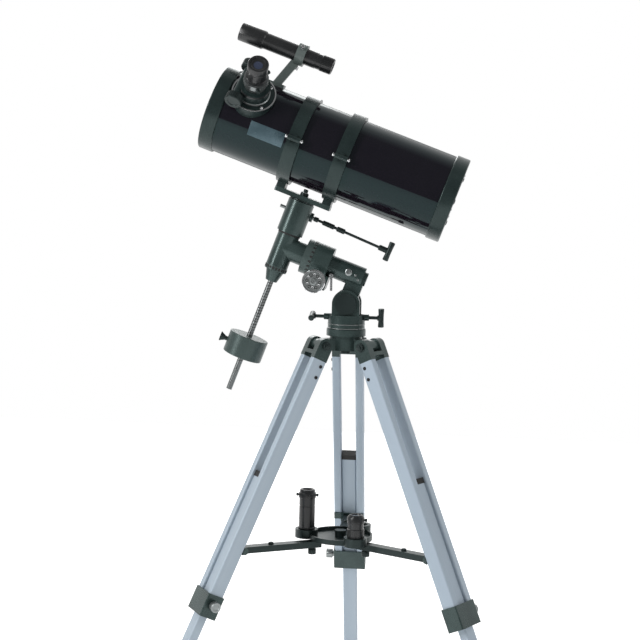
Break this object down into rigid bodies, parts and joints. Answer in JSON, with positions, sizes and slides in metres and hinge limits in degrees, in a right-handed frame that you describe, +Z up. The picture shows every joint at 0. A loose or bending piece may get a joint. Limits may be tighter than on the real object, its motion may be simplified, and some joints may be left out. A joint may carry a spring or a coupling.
{
  "type": "reflecting telescope on tripod",
  "caption": "Short reflecting telescope on a geared equatorial mount with a counterweight, on a folding aluminium tripod with an accessory tray.",
  "frame": {"origin": "on the floor, under the middle of the box round the three feet", "axes": "+Z up; +Y towards the rear leg; +X the way the polar axis runs down, so the tube's open end is towards -X"},
  "size_m": [0.6726, 0.587, 1.2433],
  "materials": {
    "gloss_black_tube": "gloss",
    "dark_casting": "crinkle paint",
    "light_casting": "painted aluminium casting",
    "black_plastic": "satin",
    "leg_aluminium": "anodised",
    "steel": "brushed",
    "chrome": "polished",
    "brass": "machined",
    "rubber": "matte",
    "mirror_glass": "silvered",
    "barrel_aluminium": "anodised black"
  },
  "bodies": {
    "tripod": {"tripod_head": "light_casting", "tripod_bolts": "steel"},
    "leg_1": {"leg_1_rails": "leg_aluminium", "leg_1_castings": "black_plastic"},
    "brace_1": {"leg_1_brace": "black_plastic"},
    "lower_leg_1": {"leg_1_lower": "leg_aluminium", "leg_1_caps": "rubber"},
    "lock_1": {"leg_1_lock_screw": "chrome"},
    "leg_2": {"leg_2_rails": "leg_aluminium", "leg_2_castings": "black_plastic"},
    "brace_2": {"leg_2_brace": "black_plastic"},
    "lower_leg_2": {"leg_2_lower": "leg_aluminium", "leg_2_caps": "rubber"},
    "lock_2": {"leg_2_lock_screw": "chrome"},
    "leg_3": {"leg_3_rails": "leg_aluminium", "leg_3_castings": "black_plastic"},
    "brace_3": {"leg_3_brace": "black_plastic"},
    "lower_leg_3": {"leg_3_lower": "leg_aluminium", "leg_3_caps": "rubber"},
    "lock_3": {"leg_3_lock_screw": "chrome"},
    "tray": {"accessory_tray": "black_plastic"},
    "tray_lens_tube": {"tray_lens_tube": "black_plastic"},
    "tray_eyepiece": {"tray_eyepiece": "black_plastic"},
    "azimuth": {"azimuth_base": "light_casting", "latitude_pin": "steel"},
    "latitude_screw_front": {"latitude_screw_front": "black_plastic"},
    "latitude_screw_rear": {"latitude_screw_rear": "black_plastic"},
    "polar": {"polar_housing": "light_casting"},
    "ra": {"ra_shaft": "steel", "dec_housing": "light_casting"},
    "ra_worm": {"ra_worm": "brass", "ra_knob": "chrome"},
    "ra_clamp": {"ra_clamp_lever": "steel"},
    "ra_circle": {"ra_setting_circle": "light_casting"},
    "dec": {"dec_shaft": "steel", "shaft_collar": "light_casting", "counterweight_rod": "steel", "saddle_plate": "light_casting", "ring_lower_halves": "light_casting", "ring_pins": "chrome"},
    "dec_worm": {"dec_worm": "brass"},
    "slow_motion": {"slow_motion_control": "black_plastic"},
    "counterweight": {"counterweight": "dark_casting"},
    "counterweight_screw": {"counterweight_screw": "black_plastic"},
    "ring_upper_front": {"ring_upper_front": "light_casting"},
    "ring_screw_front": {"ring_screw_front": "black_plastic"},
    "ring_upper_rear": {"ring_upper_rear": "light_casting"},
    "ring_screw_rear": {"ring_screw_rear": "black_plastic"},
    "tube": {"tube": "gloss_black_tube", "front_ring": "black_plastic", "rear_cell": "black_plastic", "primary_mirror": "mirror_glass", "spider": "light_casting", "secondary_mirror": "mirror_glass", "focuser_body": "black_plastic", "finder_tube": "barrel_aluminium", "finder_bracket": "light_casting"},
    "drawtube": {"drawtube": "barrel_aluminium"},
    "focus_knobs": {"focus_knobs": "black_plastic"},
    "eyepiece": {"eyepiece": "black_plastic"}
  },
  "joints": [
    {"name": "leg_1_fold", "type": "hinge", "parent": "tripod", "child": "leg_1", "pos_m": [0, -0.04243, 0.69612], "axis": [-1, 0, 0], "range_deg": [0, 10]},
    {"name": "brace_1_fold", "type": "hinge", "parent": "leg_1", "child": "brace_1", "pos_m": [0, 0.09287, 0.34678], "axis": [-1, 0, 0], "range_deg": [0, 41]},
    {"name": "lower_leg_1_slide", "type": "slide", "parent": "leg_1", "child": "lower_leg_1", "axis": [0, -0.4147, 0.91], "range_m": [-0.2, 0.16]},
    {"name": "lock_1_turn", "type": "hinge", "parent": "leg_1", "child": "lock_1", "pos_m": [-0.0301, 0.15496, 0.26298], "axis": [-1, 0, 0], "continuous": true},
    {"name": "leg_2_fold", "type": "hinge", "parent": "tripod", "child": "leg_2", "pos_m": [-0.0433, -0.11743, 0.69612], "axis": [0.5, -0.866, 0], "range_deg": [0, 10]},
    {"name": "brace_2_fold", "type": "hinge", "parent": "leg_2", "child": "brace_2", "pos_m": [-0.16048, -0.18509, 0.34678], "axis": [0.5, -0.866, 0], "range_deg": [0, 41]},
    {"name": "lower_leg_2_slide", "type": "slide", "parent": "leg_2", "child": "lower_leg_2", "axis": [0.3591, 0.2073, 0.91], "range_m": [-0.2, 0.16]},
    {"name": "lock_2_turn", "type": "hinge", "parent": "leg_2", "child": "lock_2", "pos_m": [-0.1992, -0.2422, 0.26298], "axis": [0.5, -0.866, 0], "continuous": true},
    {"name": "leg_3_fold", "type": "hinge", "parent": "tripod", "child": "leg_3", "pos_m": [0.0433, -0.11743, 0.69612], "axis": [0.5, 0.866, 0], "range_deg": [0, 10]},
    {"name": "brace_3_fold", "type": "hinge", "parent": "leg_3", "child": "brace_3", "pos_m": [0.16048, -0.18509, 0.34678], "axis": [0.5, 0.866, 0], "range_deg": [0, 41]},
    {"name": "lower_leg_3_slide", "type": "slide", "parent": "leg_3", "child": "lower_leg_3", "axis": [-0.3591, 0.2073, 0.91], "range_m": [-0.2, 0.16]},
    {"name": "lock_3_turn", "type": "hinge", "parent": "leg_3", "child": "lock_3", "pos_m": [0.2293, -0.19006, 0.26298], "axis": [0.5, 0.866, 0], "continuous": true},
    {"name": "tray_lift", "type": "slide", "parent": "tripod", "child": "tray", "axis": [0, 0, 1], "range_m": [0, 0.1052]},
    {"name": "lens_tube_lift_out", "type": "slide", "parent": "tray", "child": "tray_lens_tube", "axis": [0, 0, 1], "range_m": [0, 0.03]},
    {"name": "tray_eyepiece_lift_out", "type": "slide", "parent": "tray", "child": "tray_eyepiece", "axis": [0, 0, 1], "range_m": [0, 0.03]},
    {"name": "azimuth_turn", "type": "hinge", "parent": "tripod", "child": "azimuth", "pos_m": [0, -0.09243, 0.72312], "axis": [0, 0, 1], "continuous": true},
    {"name": "latitude_screw_front_turn", "type": "hinge", "parent": "azimuth", "child": "latitude_screw_front", "pos_m": [-0.06, -0.09243, 0.74312], "axis": [-1, 0, 0], "continuous": true},
    {"name": "latitude_screw_rear_turn", "type": "hinge", "parent": "azimuth", "child": "latitude_screw_rear", "pos_m": [0.06, -0.09243, 0.74312], "axis": [1, 0, 0], "continuous": true},
    {"name": "latitude_tilt", "type": "hinge", "parent": "azimuth", "child": "polar", "pos_m": [0, -0.09243, 0.76712], "axis": [0, 1, 0], "range_deg": [-8, 45]},
    {"name": "ra_axis", "type": "hinge", "parent": "polar", "child": "ra", "pos_m": [-0.11174, -0.09243, 0.86068], "axis": [0.9397, 0, -0.342], "range_deg": [-90, 90]},
    {"name": "ra_worm_turn", "type": "hinge", "parent": "polar", "child": "ra_worm", "pos_m": [-0.05374, -0.09243, 0.80658], "axis": [0, 1, 0], "continuous": true},
    {"name": "ra_clamp_turn", "type": "hinge", "parent": "polar", "child": "ra_clamp", "pos_m": [-0.02632, -0.09243, 0.81469], "axis": [0, -1, 0], "range_deg": [0, 60]},
    {"name": "ra_circle_turn", "type": "hinge", "parent": "ra", "child": "ra_circle", "pos_m": [-0.07575, -0.09243, 0.84758], "axis": [0.9397, 0, -0.342], "continuous": true},
    {"name": "dec_axis", "type": "hinge", "parent": "ra", "child": "dec", "pos_m": [-0.11174, -0.09243, 0.86068], "axis": [0.342, 0, 0.9397], "continuous": true},
    {"name": "dec_worm_turn", "type": "hinge", "parent": "ra", "child": "dec_worm", "pos_m": [-0.08985, -0.07583, 0.92082], "axis": [0.9397, 0, -0.342], "continuous": true},
    {"name": "slow_motion_turn", "type": "hinge", "parent": "ra", "child": "slow_motion", "pos_m": [-0.06232, -0.07583, 0.9108], "axis": [0.9272, 0, -0.3746], "continuous": true},
    {"name": "counterweight_slide", "type": "slide", "parent": "dec", "child": "counterweight", "axis": [0.342, 0, 0.9397], "range_m": [-0.055, 0.1]},
    {"name": "counterweight_screw_turn", "type": "hinge", "parent": "counterweight", "child": "counterweight_screw", "pos_m": [-0.20771, -0.09243, 0.69788], "axis": [-0.9397, 0, 0.342], "continuous": true},
    {"name": "ring_front_open", "type": "hinge", "parent": "dec", "child": "ring_upper_front", "pos_m": [-0.08951, -0.17423, 1.04542], "axis": [0.9397, 0, -0.342], "range_deg": [0, 32]},
    {"name": "ring_screw_front_turn", "type": "hinge", "parent": "ring_upper_front", "child": "ring_screw_front", "pos_m": [-0.08951, -0.00663, 1.04542], "axis": [0.342, 0, 0.9397], "continuous": true},
    {"name": "ring_rear_open", "type": "hinge", "parent": "dec", "child": "ring_upper_rear", "pos_m": [-0.01002, -0.17423, 1.01648], "axis": [0.9397, 0, -0.342], "range_deg": [0, 100]},
    {"name": "ring_screw_rear_turn", "type": "hinge", "parent": "ring_upper_rear", "child": "ring_screw_rear", "pos_m": [-0.01002, -0.00663, 1.01648], "axis": [0.342, 0, 0.9397], "continuous": true},
    {"name": "tube_roll", "type": "hinge", "parent": "dec", "child": "tube", "pos_m": [-0.04977, -0.09243, 1.03095], "axis": [0.9397, 0, -0.342], "range_deg": [-130, 60]},
    {"name": "focus_travel", "type": "slide", "parent": "tube", "child": "drawtube", "axis": [0.1962, -0.8192, 0.539], "range_m": [-0.009, 0.025]},
    {"name": "focus_knobs_turn", "type": "hinge", "parent": "tube", "child": "focus_knobs", "pos_m": [-0.17875, -0.17107, 1.13649], "axis": [0.2802, 0.5736, 0.7698], "continuous": true},
    {"name": "eyepiece_pull_out", "type": "slide", "parent": "drawtube", "child": "eyepiece", "axis": [0.1962, -0.8192, 0.539], "range_m": [0, 0.05]}
  ],
  "couplings": [
    {"joint": "brace_1_fold", "follows": "leg_1_fold", "ratio": 4},
    {"joint": "leg_2_fold", "follows": "leg_1_fold", "ratio": 1},
    {"joint": "brace_2_fold", "follows": "leg_1_fold", "ratio": 4},
    {"joint": "leg_3_fold", "follows": "leg_1_fold", "ratio": 1},
    {"joint": "brace_3_fold", "follows": "leg_1_fold", "ratio": 4},
    {"joint": "tray_lift", "follows": "leg_1_fold", "m_per_rad": 0.59121},
    {"joint": "ra_worm_turn", "follows": "ra_axis", "ratio": -34},
    {"joint": "dec_worm_turn", "follows": "dec_axis", "ratio": 16},
    {"joint": "slow_motion_turn", "follows": "dec_axis", "ratio": 16},
    {"joint": "focus_knobs_turn", "follows": "focus_travel", "rad_per_m": -250}
  ]
}
